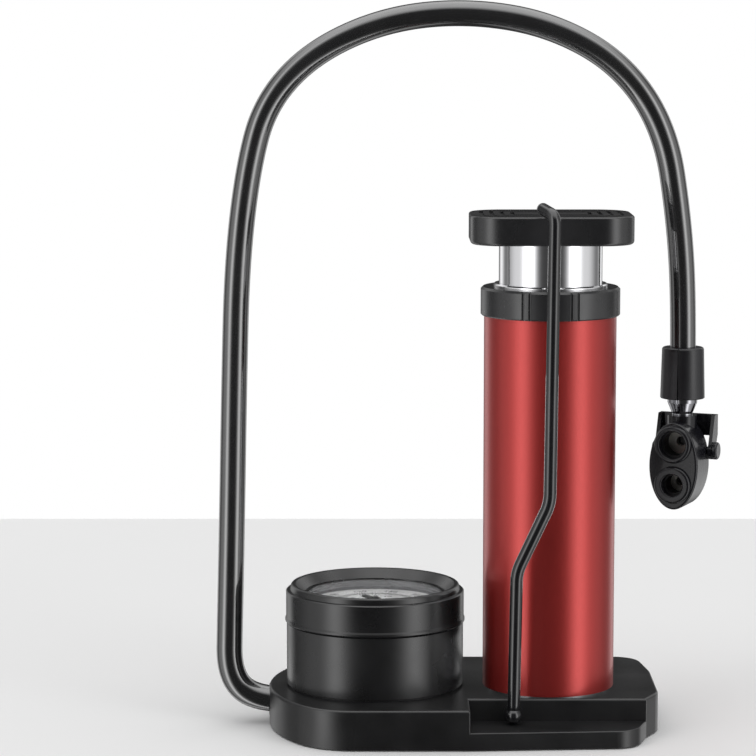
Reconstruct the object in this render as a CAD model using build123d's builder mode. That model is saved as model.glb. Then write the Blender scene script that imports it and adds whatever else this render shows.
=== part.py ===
"""Compact floor pump with a pressure gauge, a wire latch, a hose and a twin valve head.

Millimetres, +Z up. The origin is on the ground, at the middle of the base's length and width.
+X runs from the gauge to the pump barrel, and -Y is the side that the wire latch is on.
The chrome tube is the moving cylinder: it slides over a piston that stands still on a standpipe.
"""
from build123d import *
import math
import os

os.makedirs("parts", exist_ok=True)

# ---- Base ----
BASE_HALF_LENGTH = 62.9
BASE_HALF_WIDTH = 40.0
BASE_TOP = 13.1
SKIRT_BOTTOM = 0.5
SHELL_WALL = 2.5
COVER_SHELF = 1.5
SOCKET_WALL = 3.2
COVER_BOTTOM = 1.0
COVER_TOP = 3.2
COVER_GAP = 0.15
CEILING = 11.1
TOP_ROUND = 0.9
LIP_ROUND = 0.45
LEDGE_Z = 5.9
LEDGE_START_X = 1.5
LEDGE_BACK_Y = -23.4
LATCH_WALL_Y = -19.5
LATCH_WALL_SIDE = 2.0
BOSS_R = 4.0
SCREW_R = 1.5
SCREW_HEAD_R = 2.9
SCREW_THREAD_START = 1.8
SCREW_THREAD_LENGTH = 7.4
SCREW_SLOT = (3.4, 0.7)
SCREW_SLOT_DEPTH = 0.9
PILOT_DEPTH = 6.4
SCREW_SPOTS = [(-49.0, -20.0), (-49.0, 20.0), (-4.0, -33.4), (51.0, 24.0)]
FOOT_R = 5.5
FOOT_BEVEL = 0.3
FOOT_SPOTS = [(-37.0, -29.0), (-37.0, 29.0), (42.0, -26.5), (48.0, 31.0)]

# ---- Pump ----
BARREL_X = 27.9
BARREL_R = 21.3
BARREL_BORE_R = 19.3
BARREL_BOTTOM = 10.0
BARREL_TOP = 141.0
FOOT_PLUG_R = 20.8
FOOT_PLUG_TOP = 14.4
STANDPIPE_R = 8.0
STANDPIPE_BORE_R = 4.5
STANDPIPE_BOTTOM = 9.0
STANDPIPE_TOP = 104.0
AIR_CHAMBER_BOTTOM = 5.5
PISTON_R = 14.8
PISTON_BOTTOM = 98.0
PISTON_TOP = 114.0
TUBE_R = 16.6
TUBE_BORE_R = 15.1
TUBE_BOTTOM = 28.0
TUBE_TOP = 157.3
GUIDE_HEIGHT = 18.0
STROKE_UP = 70.0
STOP_GAP = 0.3
RUNNING_GAP = 0.05
COLLAR_R = 22.4
COLLAR_BOTTOM = 133.9
COLLAR_TOP = 143.1
WIPER_HEIGHT = 1.3
GUIDE_RING_RISE = 1.1
PLUG_BOTTOM = 144.0
PLUG_BOSS_R = 9.0
PLUG_BOSS_BOTTOM = 131.0
SPRING_WIRE_R = 0.9
SPRING_R = 12.4
SPRING_TURNS = 9
PEDAL_SCREW_R = 3.0
PEDAL_SCREW_HEAD_R = 5.0
PEDAL_SCREW_HEAD = 3.0
PEDAL_SCREW_SINK = 0.4

# ---- Pedal ----
PEDAL_LENGTH = 52.2
PEDAL_DEPTH = 38.2
PEDAL_TOP = 166.5
PEDAL_CORNER_R = 11.0
PEDAL_UNDER_ROUND = 1.2
PEDAL_TOP_ROUND = 0.8
PEDAL_SKIN = 3.8
PEDAL_RIM = 3.2
PEDAL_GROOVES = 4
PEDAL_GROOVE_STEP = 3.3
PEDAL_GROOVE_WIDTH = 1.3
PEDAL_GROOVE_DEPTH = 0.7
PEDAL_GROOVE_LEAST_R = 1.6

# ---- Wire latch ----
WIRE_R = 2.0
WIRE_Y = -28.0
KNUCKLE_R = 2.6
LATCH_PIVOT = (15.5, 8.7)
LATCH_ROUTE = [
    (15.5, -19.2, 8.7),
    (15.5, WIRE_Y, 8.7),
    (16.3, WIRE_Y, 55.0),
    (26.6, WIRE_Y, 77.0),
    (27.6, WIRE_Y, 167.4),
    (24.2, -21.5, 169.2),
]
LATCH_BENDS = [3.6, 14.0, 14.0, 3.4]
# Distances in front of the middle plane along the latch's pivot
STUB_HOLE_START = 18.9
CLIP_POCKET_START = 19.9
CLIP_START = 20.3
BUSH_START = 21.5
BUSH_END = 24.0
BUSH_NOSE_END = 24.3
BUSH_HOLE_END = 25.0
CLIP_POCKET_WIDTH = 6.8
CLIP_POCKET_TOP = 11.9
CLIP_R = 2.8
CLIP_THICKNESS = 0.8
CLIP_GROOVE_DEPTH = 0.5
BUSH_WALL = 1.0
BUSH_NOSE_R = 2.7

# ---- Gauge ----
GAUGE_X = -28.5
GAUGE_R = 28.7
GAUGE_WALL = 2.4
GASKET_THICKNESS = 0.8
GASKET_INSET = 0.8
GAUGE_SEAM = 34.0
BEZEL_R = 28.9
BEZEL_TOP = 46.3
WINDOW_R = 22.9
DIAL_TOP = 39.0
DIAL_THICKNESS = 0.8
DIAL_HOLE_R = 1.6
LENS_BOTTOM = 42.0
LENS_TOP = 43.2
NEEDLE_BOTTOM = 39.7
NEEDLE_THICKNESS = 0.6
NEEDLE_REACH = 15.4
NEEDLE_TAIL = 6.0
NEEDLE_ANGLE = -57.0
NEEDLE_HUB_R = 1.9
NEEDLE_CAP_R = 1.2
NEEDLE_CAP_HEIGHT = 0.35
NEEDLE_TAIL_R = 0.95
PINION_R = 1.6
SECTOR_R = 15.0
MOVEMENT_BOTTOM = 28.0
BOURDON_R = 18.5
STEM_R = 4.0
STEM_BORE_R = 1.2
STEM_BORE_TOP = 23.0

# ---- Air line and hose ----
AIR_Z = 7.6
HOSE_R = 4.25
PIPE_R = 1.8
BARB_R = 2.0
AIR_BORE_R = 1.0
MANIFOLD_HALF_LENGTH = 7.0
MANIFOLD_GAP = 0.2
MANIFOLD_CORNER_R = 1.5
SPIGOT_DEPTH = 4.0
HOSE_END_X = -57.2
HOSE_BOSS = (16.0, 15.0)
HOSE_BOSS_WALL = 4.0
GLAND_LENGTH = 2.4
GLAND_WALL = 0.95
# The route leaves the left end, turns straight up, leans back and arches over the pump.
HOSE_ROUTE = [
    (HOSE_END_X, 0.0, AIR_Z),
    (-68.2, 0.0, AIR_Z),
    (-76.2, 1.0, 15.6),
    (-75.9, 4.0, 34.0),
    (-75.3, 9.5, 66.0),
    (-74.7, 16.0, 108.0),
    (-73.8, 21.5, 148.0),
    (-70.3, 26.5, 179.0),
    (-64.6, 29.5, 200.5),
    (-49.5, 31.0, 217.0),
    (-25.5, 31.0, 228.0),
    (1.5, 31.0, 230.9),
    (29.0, 31.0, 226.5),
    (52.5, 30.0, 213.5),
    (67.0, 28.0, 192.0),
    (71.6, 26.0, 162.0),
    (73.3, 25.0, 136.0),
    (73.3, 25.0, 114.0),
]

# ---- Valve head, in its own frame: X across the face, Y away from the ports, Z up ----
HEAD_X = 73.3
HEAD_Y = 25.0
HEAD_YAW = -23.0
HEAD_HALF_WIDTH = 8.3
HEAD_BOTTOM = 67.5
HEAD_TOP = 96.4
HEAD_FACE_ROUND = 2.4
HEAD_BACK_ROUND = 0.8
NECK_R = 4.9
NECK_BOTTOM = 88.0
NECK_TOP = 98.0
FACE_DEPTH = 9.7
BACK_DEPTH = 5.6
UPPER_PORT_Z = 89.2
LOWER_PORT_Z = 75.8
PORT_BORE_R = 4.6
PORT_FLOOR_Y = 1.6
LARGE_VALVE_R = 3.9
SMALL_VALVE_R = 3.0
CAP_R = 6.2
CAP_SEAT_R = 5.7
CAP_BORE_WALL = 0.6
CAP_DEPTH = 1.8
CAP_RISE = 1.4
CAP_OUTER_ROUND = 1.0
CAP_INNER_ROUND = 0.5
GROMMET_LENGTH = 5.6
PISTON_RING_LENGTH = 2.4
PISTON_RING_BORE_R = 1.6
SLEEVE_TOP = 120.6
SLEEVE_BOTTOM = 103.6
SLEEVE_R = 7.35
SLEEVE_TOP_R = 6.9
SLEEVE_ROUND = 0.8
SLEEVE_FOOT_ROUND = 0.4
SLIT_X = 0.6
SLIT_WIDTH = 0.5
SLIT_DEPTH = 0.8
NIPPLE_BOTTOM = 95.4
NIPPLE_R = 3.4
NIPPLE_BORE_R = 1.2
FLANGE_R = 4.9
FLANGE_THICKNESS = 1.4
CONE_BOTTOM = 98.6
LEVER_PIVOT_Y = 3.5
LEVER_PIVOT_Z = 86.0
LEVER_PIN_R = 1.2
LEVER_ARM_INNER = 8.6
LEVER_ARM_OUTER = 9.8
LEVER_EYE_R = 2.9
LEVER_REACH = 5.0
LEVER_TOP = 97.6
LEVER_HEEL_Z = 91.0
THUMB_PLATE = (2.0, 7.0)
PIN_HEAD_R = 2.9
PIN_HEAD_HEIGHT = 1.5
PIN_HEAD_ROUND = 0.6
PIN_RIVET_R = 2.0
PIN_RIVET_HEIGHT = 0.8
PIN_GAP = 0.3
# How far a cut runs past the face that it opens
OVERCUT = 1.0
HEAD_ACROSS = Vector(1, 0, 0).rotate(Axis.Z, HEAD_YAW)
HEAD_PLANE = Plane(origin=(HEAD_X, HEAD_Y, 0), x_dir=HEAD_ACROSS, z_dir=(0, 0, 1))


def save(builder, name):
    """Label a finished piece and write it to its own STEP file."""
    builder.part.label = name
    export_step(builder.part, f"parts/{name}.step")


def head_plane(x=0.0, y=0.0, z=0.0, normal="up"):
    """A plane in the valve head's frame; one that faces the ports has x across the face and y up."""
    across = HEAD_PLANE.x_dir
    origin = HEAD_PLANE.from_local_coords(Vector(x, y, z))
    if normal == "up":
        return Plane(origin=origin, x_dir=across, z_dir=(0, 0, 1))
    if normal == "ports":
        return Plane(origin=origin, x_dir=across, z_dir=-HEAD_PLANE.y_dir)
    return Plane(origin=origin, x_dir=HEAD_PLANE.y_dir, z_dir=across)


def pivot_plane(x):
    """A plane across the valve head's lever pivot, looking along the pin."""
    return head_plane(x=x, y=LEVER_PIVOT_Y, z=LEVER_PIVOT_Z, normal="across")


def base_outline(inset=0.0):
    """The base's plan: a round left end, a tapered front right and a blunt back right corner."""
    left_x = -44.5
    front = [
        (left_x, -BASE_HALF_WIDTH),
        (LEDGE_START_X, -BASE_HALF_WIDTH),
        (54.0, -36.6),
        (58.2, -22.8),
        (BASE_HALF_LENGTH, -13.5),
    ]
    back = [(BASE_HALF_LENGTH, 18.0), (60.0, BASE_HALF_WIDTH), (left_x, BASE_HALF_WIDTH)]
    corner_rounds = {front[0]: 22.0, front[2]: 9.0, front[4]: 12.0}
    corner_rounds |= {back[0]: 30.0, back[1]: 9.0, back[2]: 22.0}
    with BuildSketch() as plan:
        with BuildLine():
            Polyline(*front, *back)
            ThreePointArc(back[2], (-BASE_HALF_LENGTH, 0.0), front[0])
        make_face()
        for corner, radius in corner_rounds.items():
            fillet(plan.vertices().sort_by_distance(corner)[0], radius)
        if inset > 0:
            offset(amount=-inset, mode=Mode.REPLACE)
    return plan.sketch


def ring(x, bottom, top, outer_r, inner_r=0.0):
    """A plain round bar or sleeve about a vertical axis, added to the part being built."""
    with BuildSketch(Plane.XY.offset(bottom)) as section:
        with Locations((x, 0)):
            Circle(outer_r)
            if inner_r > 0:
                Circle(inner_r, mode=Mode.SUBTRACT)
    extrude(section.sketch, amount=top - bottom)


def round_cut(x, bottom, top, radius):
    """A round hole about a vertical axis, cut out of the part being built."""
    with BuildSketch(Plane.XY.offset(bottom)) as section:
        with Locations((x, 0)):
            Circle(radius)
    extrude(section.sketch, amount=top - bottom, mode=Mode.SUBTRACT)


def cross_bore(x_from, x_to, radius):
    """A hole along X at the height of the air line, cut out of the part being built."""
    with BuildSketch(Plane.YZ.offset(x_from)) as section:
        with Locations((0, AIR_Z)):
            Circle(radius)
    extrude(section.sketch, amount=x_to - x_from, mode=Mode.SUBTRACT)


# ---- Base housing, cover, feet and screws ----
LEDGE_CUT = (80.0, 40.0)
LEDGE_CENTRE = (LEDGE_START_X + LEDGE_CUT[0] / 2, LEDGE_BACK_Y - LEDGE_CUT[1] / 2)
LATCH_WALL_CENTRE = (LEDGE_CENTRE[0] - LATCH_WALL_SIDE, LATCH_WALL_Y - LEDGE_CUT[1] / 2)
HOSE_BOSS_CENTRE = (HOSE_END_X + HOSE_BOSS_WALL - HOSE_BOSS[0] / 2, 0)
PIPE_END_X = BARREL_X - 15.8

# Full-height block of the housing, behind and beside the ledge that the folded latch lies in
with BuildPart() as base_block:
    with BuildSketch(Plane.XY.offset(SKIRT_BOTTOM)):
        add(base_outline())
        with Locations(LEDGE_CENTRE):
            Rectangle(*LEDGE_CUT, mode=Mode.SUBTRACT)
    extrude(amount=BASE_TOP - SKIRT_BOTTOM)
    step_corner = (LEDGE_START_X, -BASE_HALF_WIDTH, BASE_TOP)
    fillet(base_block.edges().filter_by(Axis.Z).sort_by_distance(step_corner)[0], LIP_ROUND)
    fillet(base_block.faces().sort_by(Axis.Z)[-1].edges(), TOP_ROUND)

with BuildPart() as base_housing:
    # Low tray over the whole plan, whose rim shows along the ledge
    with BuildSketch(Plane.XY.offset(SKIRT_BOTTOM)):
        add(base_outline())
    extrude(amount=LEDGE_Z - SKIRT_BOTTOM)
    fillet(base_housing.faces().sort_by(Axis.Z)[-1].edges(), LIP_ROUND)
    add(base_block.part)
    # Rebate for the cover
    with BuildSketch(Plane.XY.offset(SKIRT_BOTTOM)):
        add(base_outline(SHELL_WALL))
    extrude(amount=COVER_TOP - SKIRT_BOTTOM, mode=Mode.SUBTRACT)
    # Hollow, which leaves the barrel socket, the latch wall, the screw bosses and the hose boss
    with BuildSketch(Plane.XY.offset(COVER_TOP)):
        add(base_outline(SHELL_WALL + COVER_SHELF))
        with Locations((BARREL_X, 0)):
            Circle(FOOT_PLUG_R + SOCKET_WALL, mode=Mode.SUBTRACT)
        with Locations(LATCH_WALL_CENTRE):
            Rectangle(*LEDGE_CUT, mode=Mode.SUBTRACT)
        with Locations(*SCREW_SPOTS):
            Circle(BOSS_R, mode=Mode.SUBTRACT)
        with Locations(HOSE_BOSS_CENTRE):
            Rectangle(*HOSE_BOSS, mode=Mode.SUBTRACT)
    extrude(amount=CEILING - COVER_TOP, mode=Mode.SUBTRACT)
    round_cut(BARREL_X, COVER_TOP, BARREL_BOTTOM, FOOT_PLUG_R)
    round_cut(BARREL_X, BARREL_BOTTOM, BASE_TOP, BARREL_R)
    round_cut(GAUGE_X, CEILING, BASE_TOP, STEM_R)
    cross_bore(0.0, PIPE_END_X, PIPE_R)
    cross_bore(-BASE_HALF_LENGTH - OVERCUT, HOSE_END_X, HOSE_R)
    cross_bore(HOSE_END_X, HOSE_END_X + HOSE_BOSS_WALL + OVERCUT, BARB_R)
    cross_bore(-BASE_HALF_LENGTH - OVERCUT, -BASE_HALF_LENGTH + GLAND_LENGTH, HOSE_R + GLAND_WALL)
    # Pocket and bore of the latch pivot
    with BuildSketch(Plane.XY.offset(COVER_TOP)):
        with Locations((LATCH_PIVOT[0], -(CLIP_POCKET_START + BUSH_START) / 2)):
            Rectangle(CLIP_POCKET_WIDTH, BUSH_START - CLIP_POCKET_START)
    extrude(amount=CLIP_POCKET_TOP - COVER_TOP, mode=Mode.SUBTRACT)
    with BuildSketch(Plane.XZ.offset(CLIP_START)):
        with Locations(LATCH_PIVOT):
            Circle(WIRE_R + BUSH_WALL)
    extrude(amount=BUSH_HOLE_END - CLIP_START, mode=Mode.SUBTRACT)
    with BuildSketch(Plane.XZ.offset(STUB_HOLE_START)):
        with Locations(LATCH_PIVOT):
            Circle(WIRE_R + RUNNING_GAP)
    extrude(amount=CLIP_START - STUB_HOLE_START, mode=Mode.SUBTRACT)
    # Pilot holes in the screw bosses
    with BuildSketch(Plane.XY.offset(COVER_TOP)):
        with Locations(*SCREW_SPOTS):
            Circle(SCREW_R)
    extrude(amount=PILOT_DEPTH, mode=Mode.SUBTRACT)
save(base_housing, "base_housing")

with BuildPart() as bottom_cover:
    with BuildSketch(Plane.XY.offset(COVER_BOTTOM)):
        add(base_outline(SHELL_WALL + COVER_GAP))
        with Locations(*SCREW_SPOTS):
            Circle(SCREW_R, mode=Mode.SUBTRACT)
    extrude(amount=COVER_TOP - COVER_BOTTOM)
    for spot in SCREW_SPOTS:
        with BuildSketch(Plane.XY.offset(COVER_BOTTOM)):
            with Locations(spot):
                Circle(SCREW_HEAD_R)
        extrude(amount=SCREW_HEAD_R - SCREW_R, taper=45, mode=Mode.SUBTRACT)
save(bottom_cover, "bottom_cover")

with BuildPart() as cover_screws:
    for spot in SCREW_SPOTS:
        with BuildSketch(Plane.XY.offset(COVER_BOTTOM)):
            with Locations(spot):
                Circle(SCREW_HEAD_R)
        extrude(amount=SCREW_HEAD_R - SCREW_R, taper=45)
        with BuildSketch(Plane.XY.offset(SCREW_THREAD_START)):
            with Locations(spot):
                Circle(SCREW_R)
        extrude(amount=SCREW_THREAD_LENGTH)
        with BuildSketch(Plane.XY.offset(COVER_BOTTOM)):
            with Locations(spot):
                Rectangle(*SCREW_SLOT)
                Rectangle(*reversed(SCREW_SLOT))
        extrude(amount=SCREW_SLOT_DEPTH, mode=Mode.SUBTRACT)
save(cover_screws, "cover_screws")

with BuildPart() as rubber_feet:
    with BuildSketch():
        with Locations(*FOOT_SPOTS):
            Circle(FOOT_R)
    extrude(amount=COVER_BOTTOM)
    chamfer(rubber_feet.faces().group_by(Axis.Z)[0].edges(), FOOT_BEVEL)
save(rubber_feet, "rubber_feet")

# ---- Barrel, foot plug, standpipe and fixed piston ----
with BuildPart() as barrel:
    ring(BARREL_X, BARREL_BOTTOM, BARREL_TOP, BARREL_R, BARREL_BORE_R)
save(barrel, "barrel")

with BuildPart() as barrel_foot:
    ring(BARREL_X, COVER_TOP + RUNNING_GAP, BARREL_BOTTOM, FOOT_PLUG_R)
    ring(BARREL_X, BARREL_BOTTOM, FOOT_PLUG_TOP, BARREL_BORE_R)
    round_cut(BARREL_X, STANDPIPE_BOTTOM, FOOT_PLUG_TOP, STANDPIPE_R)
    round_cut(BARREL_X, AIR_CHAMBER_BOTTOM, STANDPIPE_BOTTOM, STANDPIPE_BORE_R)
    cross_bore(BARREL_X - FOOT_PLUG_R - OVERCUT, PIPE_END_X, PIPE_R)
    cross_bore(PIPE_END_X, BARREL_X, AIR_BORE_R)
save(barrel_foot, "barrel_foot")

with BuildPart() as standpipe:
    ring(BARREL_X, STANDPIPE_BOTTOM, STANDPIPE_TOP, STANDPIPE_R, STANDPIPE_BORE_R)
save(standpipe, "standpipe")

SEAL_BOTTOM = 106.0
SEAL_TOP = 110.0
SEAL_ROOT_R = 12.4
SEAL_HEEL = 0.5
SEAL_LIP = 0.8
SEAL_WALL = 1.5
SEAL_FLOOR = 1.8
VALVE_PORT_R = 2.5

with BuildPart() as piston_head:
    ring(BARREL_X, PISTON_BOTTOM, PISTON_TOP, PISTON_R)
    round_cut(BARREL_X, PISTON_BOTTOM, STANDPIPE_TOP, STANDPIPE_R)
    round_cut(BARREL_X, STANDPIPE_TOP, PISTON_TOP, VALVE_PORT_R)
    with BuildSketch(Plane.XY.offset(SEAL_BOTTOM)):
        with Locations((BARREL_X, 0)):
            Circle(PISTON_R)
            Circle(SEAL_ROOT_R, mode=Mode.SUBTRACT)
    extrude(amount=SEAL_TOP - SEAL_BOTTOM, mode=Mode.SUBTRACT)
save(piston_head, "piston_head")

with BuildPart() as cup_seal:
    with BuildSketch(Plane.XZ):
        with BuildLine():
            Polyline(
                (BARREL_X + SEAL_ROOT_R, SEAL_BOTTOM),
                (BARREL_X + TUBE_BORE_R - SEAL_HEEL, SEAL_BOTTOM),
                (BARREL_X + TUBE_BORE_R - RUNNING_GAP, SEAL_TOP - SEAL_LIP),
                (BARREL_X + TUBE_BORE_R - RUNNING_GAP, SEAL_TOP),
                (BARREL_X + SEAL_ROOT_R + SEAL_WALL, SEAL_BOTTOM + SEAL_FLOOR),
                (BARREL_X + SEAL_ROOT_R, SEAL_BOTTOM + SEAL_FLOOR),
                close=True,
            )
        make_face()
    revolve(axis=Axis((BARREL_X, 0, 0), (0, 0, 1)))
save(cup_seal, "cup_seal")

VALVE_DISC_BOTTOM = 102.4
VALVE_DISC_R = 3.8
VALVE_STEM_TOP = 110.0
VALVE_STEM_R = 1.6
VALVE_SPRING_BOTTOM = 96.0
RETAINER_THICKNESS = 1.5
RETAINER_BORE_R = 2.0

with BuildPart() as outlet_valve:
    ring(BARREL_X, VALVE_DISC_BOTTOM, STANDPIPE_TOP, VALVE_DISC_R)
    ring(BARREL_X, STANDPIPE_TOP, VALVE_STEM_TOP, VALVE_STEM_R)
save(outlet_valve, "outlet_valve")

with BuildPart() as valve_retainer:
    retainer_bottom = VALVE_SPRING_BOTTOM - RETAINER_THICKNESS
    ring(BARREL_X, retainer_bottom, VALVE_SPRING_BOTTOM, STANDPIPE_BORE_R, RETAINER_BORE_R)
save(valve_retainer, "valve_retainer")


def coil_spring(x, bottom, top, coil_r, wire_r, turns):
    """An open coil spring about a vertical axis, added to the part being built."""
    height = top - bottom - 2 * wire_r
    with BuildLine() as wire_path:
        Helix(pitch=height / turns, height=height, radius=coil_r, center=(x, 0, bottom + wire_r))
    with BuildSketch(Plane(origin=wire_path.line @ 0, z_dir=wire_path.line % 0)) as section:
        Circle(wire_r)
    sweep(section.sketch, path=wire_path.line, is_frenet=True)


with BuildPart() as valve_spring:
    coil_spring(BARREL_X, VALVE_SPRING_BOTTOM, VALVE_DISC_BOTTOM, coil_r=3.0, wire_r=0.3, turns=5)
save(valve_spring, "valve_spring")

# ---- Moving tube, its guides and the pedal ----
with BuildPart() as plunger_tube:
    ring(BARREL_X, TUBE_BOTTOM, TUBE_TOP, TUBE_R, TUBE_BORE_R)
save(plunger_tube, "plunger_tube")

GUIDE_TOP = TUBE_BOTTOM + GUIDE_HEIGHT
GUIDE_BUSH_BOTTOM = GUIDE_TOP + STROKE_UP + STOP_GAP

with BuildPart() as tube_guide:
    ring(BARREL_X, TUBE_BOTTOM, GUIDE_TOP, BARREL_BORE_R - RUNNING_GAP, TUBE_R)
save(tube_guide, "tube_guide")

with BuildPart() as guide_bush:
    ring(BARREL_X, GUIDE_BUSH_BOTTOM, BARREL_TOP, BARREL_BORE_R, TUBE_R + RUNNING_GAP)
save(guide_bush, "guide_bush")

COLLAR_GROOVE_ANGLES = [-23.0, 17.0, 157.0, 197.0]
COLLAR_GROOVE_OFFSETS = [-3.0, 3.0]
COLLAR_GROOVE_R = 0.45
COLLAR_TOP_BEVEL = 0.7
COLLAR_FOOT_BEVEL = 0.4
RING_BEVEL = 0.4
COLLAR_BORE_R = 18.4

with BuildPart() as collar:
    ring(BARREL_X, COLLAR_BOTTOM, COLLAR_TOP, COLLAR_R, COLLAR_BORE_R)
    chamfer(collar.faces().sort_by(Axis.Z)[-1].edges().sort_by(SortBy.RADIUS)[-1], COLLAR_TOP_BEVEL)
    chamfer(collar.faces().sort_by(Axis.Z)[0].edges().sort_by(SortBy.RADIUS)[-1], COLLAR_FOOT_BEVEL)
    round_cut(BARREL_X, COLLAR_BOTTOM, BARREL_TOP, BARREL_R)
    # Pairs of upright grooves for a strap wrench
    with BuildSketch(Plane.XY.offset(COLLAR_BOTTOM)):
        for angle in COLLAR_GROOVE_ANGLES:
            for shift in COLLAR_GROOVE_OFFSETS:
                turn = math.radians(angle + shift)
                spot = (BARREL_X + COLLAR_R * math.sin(turn), -COLLAR_R * math.cos(turn))
                with Locations(spot):
                    Circle(COLLAR_GROOVE_R)
    extrude(amount=COLLAR_TOP - COLLAR_BOTTOM, mode=Mode.SUBTRACT)
save(collar, "collar")

RING_BOTTOM = BARREL_TOP + WIPER_HEIGHT

with BuildPart() as wiper_seal:
    ring(BARREL_X, BARREL_TOP, RING_BOTTOM, COLLAR_BORE_R, TUBE_R + RUNNING_GAP)
save(wiper_seal, "wiper_seal")

with BuildPart() as guide_ring:
    ring(BARREL_X, RING_BOTTOM, COLLAR_TOP + GUIDE_RING_RISE, COLLAR_BORE_R, TUBE_R + RUNNING_GAP)
    chamfer(guide_ring.faces().sort_by(Axis.Z)[-1].edges().sort_by(SortBy.RADIUS)[-1], RING_BEVEL)
save(guide_ring, "guide_ring")

SCREW_SEAT = PLUG_BOSS_BOTTOM + PEDAL_SCREW_SINK + PEDAL_SCREW_HEAD

with BuildPart() as top_plug:
    ring(BARREL_X, PLUG_BOTTOM, TUBE_TOP, TUBE_BORE_R)
    ring(BARREL_X, PLUG_BOSS_BOTTOM, PLUG_BOTTOM, PLUG_BOSS_R)
    round_cut(BARREL_X, PLUG_BOSS_BOTTOM, TUBE_TOP, PEDAL_SCREW_R)
    round_cut(BARREL_X, PLUG_BOSS_BOTTOM, SCREW_SEAT, PEDAL_SCREW_HEAD_R + PEDAL_SCREW_SINK)
save(top_plug, "top_plug")

with BuildPart() as pedal_screw:
    ring(BARREL_X, PLUG_BOSS_BOTTOM + PEDAL_SCREW_SINK, SCREW_SEAT, PEDAL_SCREW_HEAD_R)
    ring(BARREL_X, SCREW_SEAT, PEDAL_TOP - PEDAL_SKIN - 0.2, PEDAL_SCREW_R)
save(pedal_screw, "pedal_screw")

with BuildPart() as return_spring:
    coil_spring(BARREL_X, PISTON_TOP, PLUG_BOTTOM, SPRING_R, SPRING_WIRE_R, SPRING_TURNS)
save(return_spring, "return_spring")

with BuildPart() as pedal:
    with BuildSketch(Plane.XY.offset(TUBE_TOP)):
        with Locations((BARREL_X, 0)):
            RectangleRounded(PEDAL_LENGTH, PEDAL_DEPTH, PEDAL_CORNER_R)
    extrude(amount=PEDAL_TOP - TUBE_TOP)
    fillet(pedal.faces().sort_by(Axis.Z)[0].edges(), PEDAL_UNDER_ROUND)
    fillet(pedal.faces().sort_by(Axis.Z)[-1].edges(), PEDAL_TOP_ROUND)
    # Concentric grip grooves in the tread
    for count in range(PEDAL_GROOVES):
        inset = PEDAL_RIM + count * PEDAL_GROOVE_STEP
        groove_r = max(PEDAL_CORNER_R - inset, PEDAL_GROOVE_LEAST_R)
        with BuildSketch(Plane.XY.offset(PEDAL_TOP - PEDAL_GROOVE_DEPTH)):
            with Locations((BARREL_X, 0)):
                RectangleRounded(PEDAL_LENGTH - 2 * inset, PEDAL_DEPTH - 2 * inset, groove_r)
                inner = inset + PEDAL_GROOVE_WIDTH
                inner_r = max(groove_r - PEDAL_GROOVE_WIDTH, 0.4)
                RectangleRounded(
                    PEDAL_LENGTH - 2 * inner, PEDAL_DEPTH - 2 * inner, inner_r, mode=Mode.SUBTRACT
                )
        extrude(amount=PEDAL_GROOVE_DEPTH, mode=Mode.SUBTRACT)
    round_cut(BARREL_X, TUBE_TOP, PEDAL_TOP - PEDAL_SKIN, PEDAL_SCREW_R)
save(pedal, "pedal")

# ---- Wire latch ----
with BuildPart() as latch_wire:
    with BuildLine() as latch_path:
        FilletPolyline(*LATCH_ROUTE, radius=LATCH_BENDS)
    with BuildSketch(Plane(origin=latch_path.line @ 0, z_dir=latch_path.line % 0)):
        Circle(WIRE_R)
    sweep(path=latch_path.line)
    with Locations(LATCH_ROUTE[-1]):
        Sphere(WIRE_R)
    # Forged knuckle at the foot, on the pivot's axis
    with Locations(LATCH_ROUTE[1]):
        Sphere(KNUCKLE_R)
    # Clip groove in the pivot stub
    with BuildSketch(Plane.XZ.offset(CLIP_START)):
        with Locations(LATCH_PIVOT):
            Circle(WIRE_R + CLIP_GROOVE_DEPTH)
            Circle(WIRE_R - CLIP_GROOVE_DEPTH, mode=Mode.SUBTRACT)
    extrude(amount=CLIP_THICKNESS, mode=Mode.SUBTRACT)
save(latch_wire, "latch_wire")

with BuildPart() as latch_clip:
    with BuildSketch(Plane.XZ.offset(CLIP_START)):
        with Locations(LATCH_PIVOT):
            Circle(CLIP_R)
            Circle(WIRE_R - CLIP_GROOVE_DEPTH, mode=Mode.SUBTRACT)
    extrude(amount=CLIP_THICKNESS)
save(latch_clip, "latch_clip")

with BuildPart() as latch_bush:
    with BuildSketch(Plane.XZ.offset(BUSH_START)):
        with Locations(LATCH_PIVOT):
            Circle(WIRE_R + BUSH_WALL)
    extrude(amount=BUSH_END - BUSH_START)
    with BuildSketch(Plane.XZ.offset(-LEDGE_BACK_Y)):
        with Locations(LATCH_PIVOT):
            Circle(BUSH_NOSE_R)
    extrude(amount=BUSH_NOSE_END + LEDGE_BACK_Y)
    with BuildSketch(Plane.XZ.offset(BUSH_START)):
        with Locations(LATCH_PIVOT):
            Circle(WIRE_R + RUNNING_GAP)
    extrude(amount=BUSH_HOLE_END - BUSH_START, mode=Mode.SUBTRACT)
save(latch_bush, "latch_bush")

# ---- Gauge case ----
GAUGE_AXIS = Axis((GAUGE_X, 0, 0), (0, 0, 1))
GAUGE_BOTTOM = BASE_TOP + GASKET_THICKNESS
GAUGE_FLOOR = GAUGE_BOTTOM + GAUGE_WALL
SEAM_BEVEL = 0.4
STEM_BOTTOM = AIR_Z + 2.0

with BuildPart() as gauge_body:
    ring(GAUGE_X, GAUGE_BOTTOM, GAUGE_SEAM, GAUGE_R)
    chamfer(gauge_body.faces().sort_by(Axis.Z)[-1].edges(), SEAM_BEVEL)
    round_cut(GAUGE_X, GAUGE_FLOOR, GAUGE_SEAM, GAUGE_R - GAUGE_WALL)
    round_cut(GAUGE_X, GAUGE_BOTTOM, GAUGE_FLOOR, STEM_R)
save(gauge_body, "gauge_body")

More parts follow.
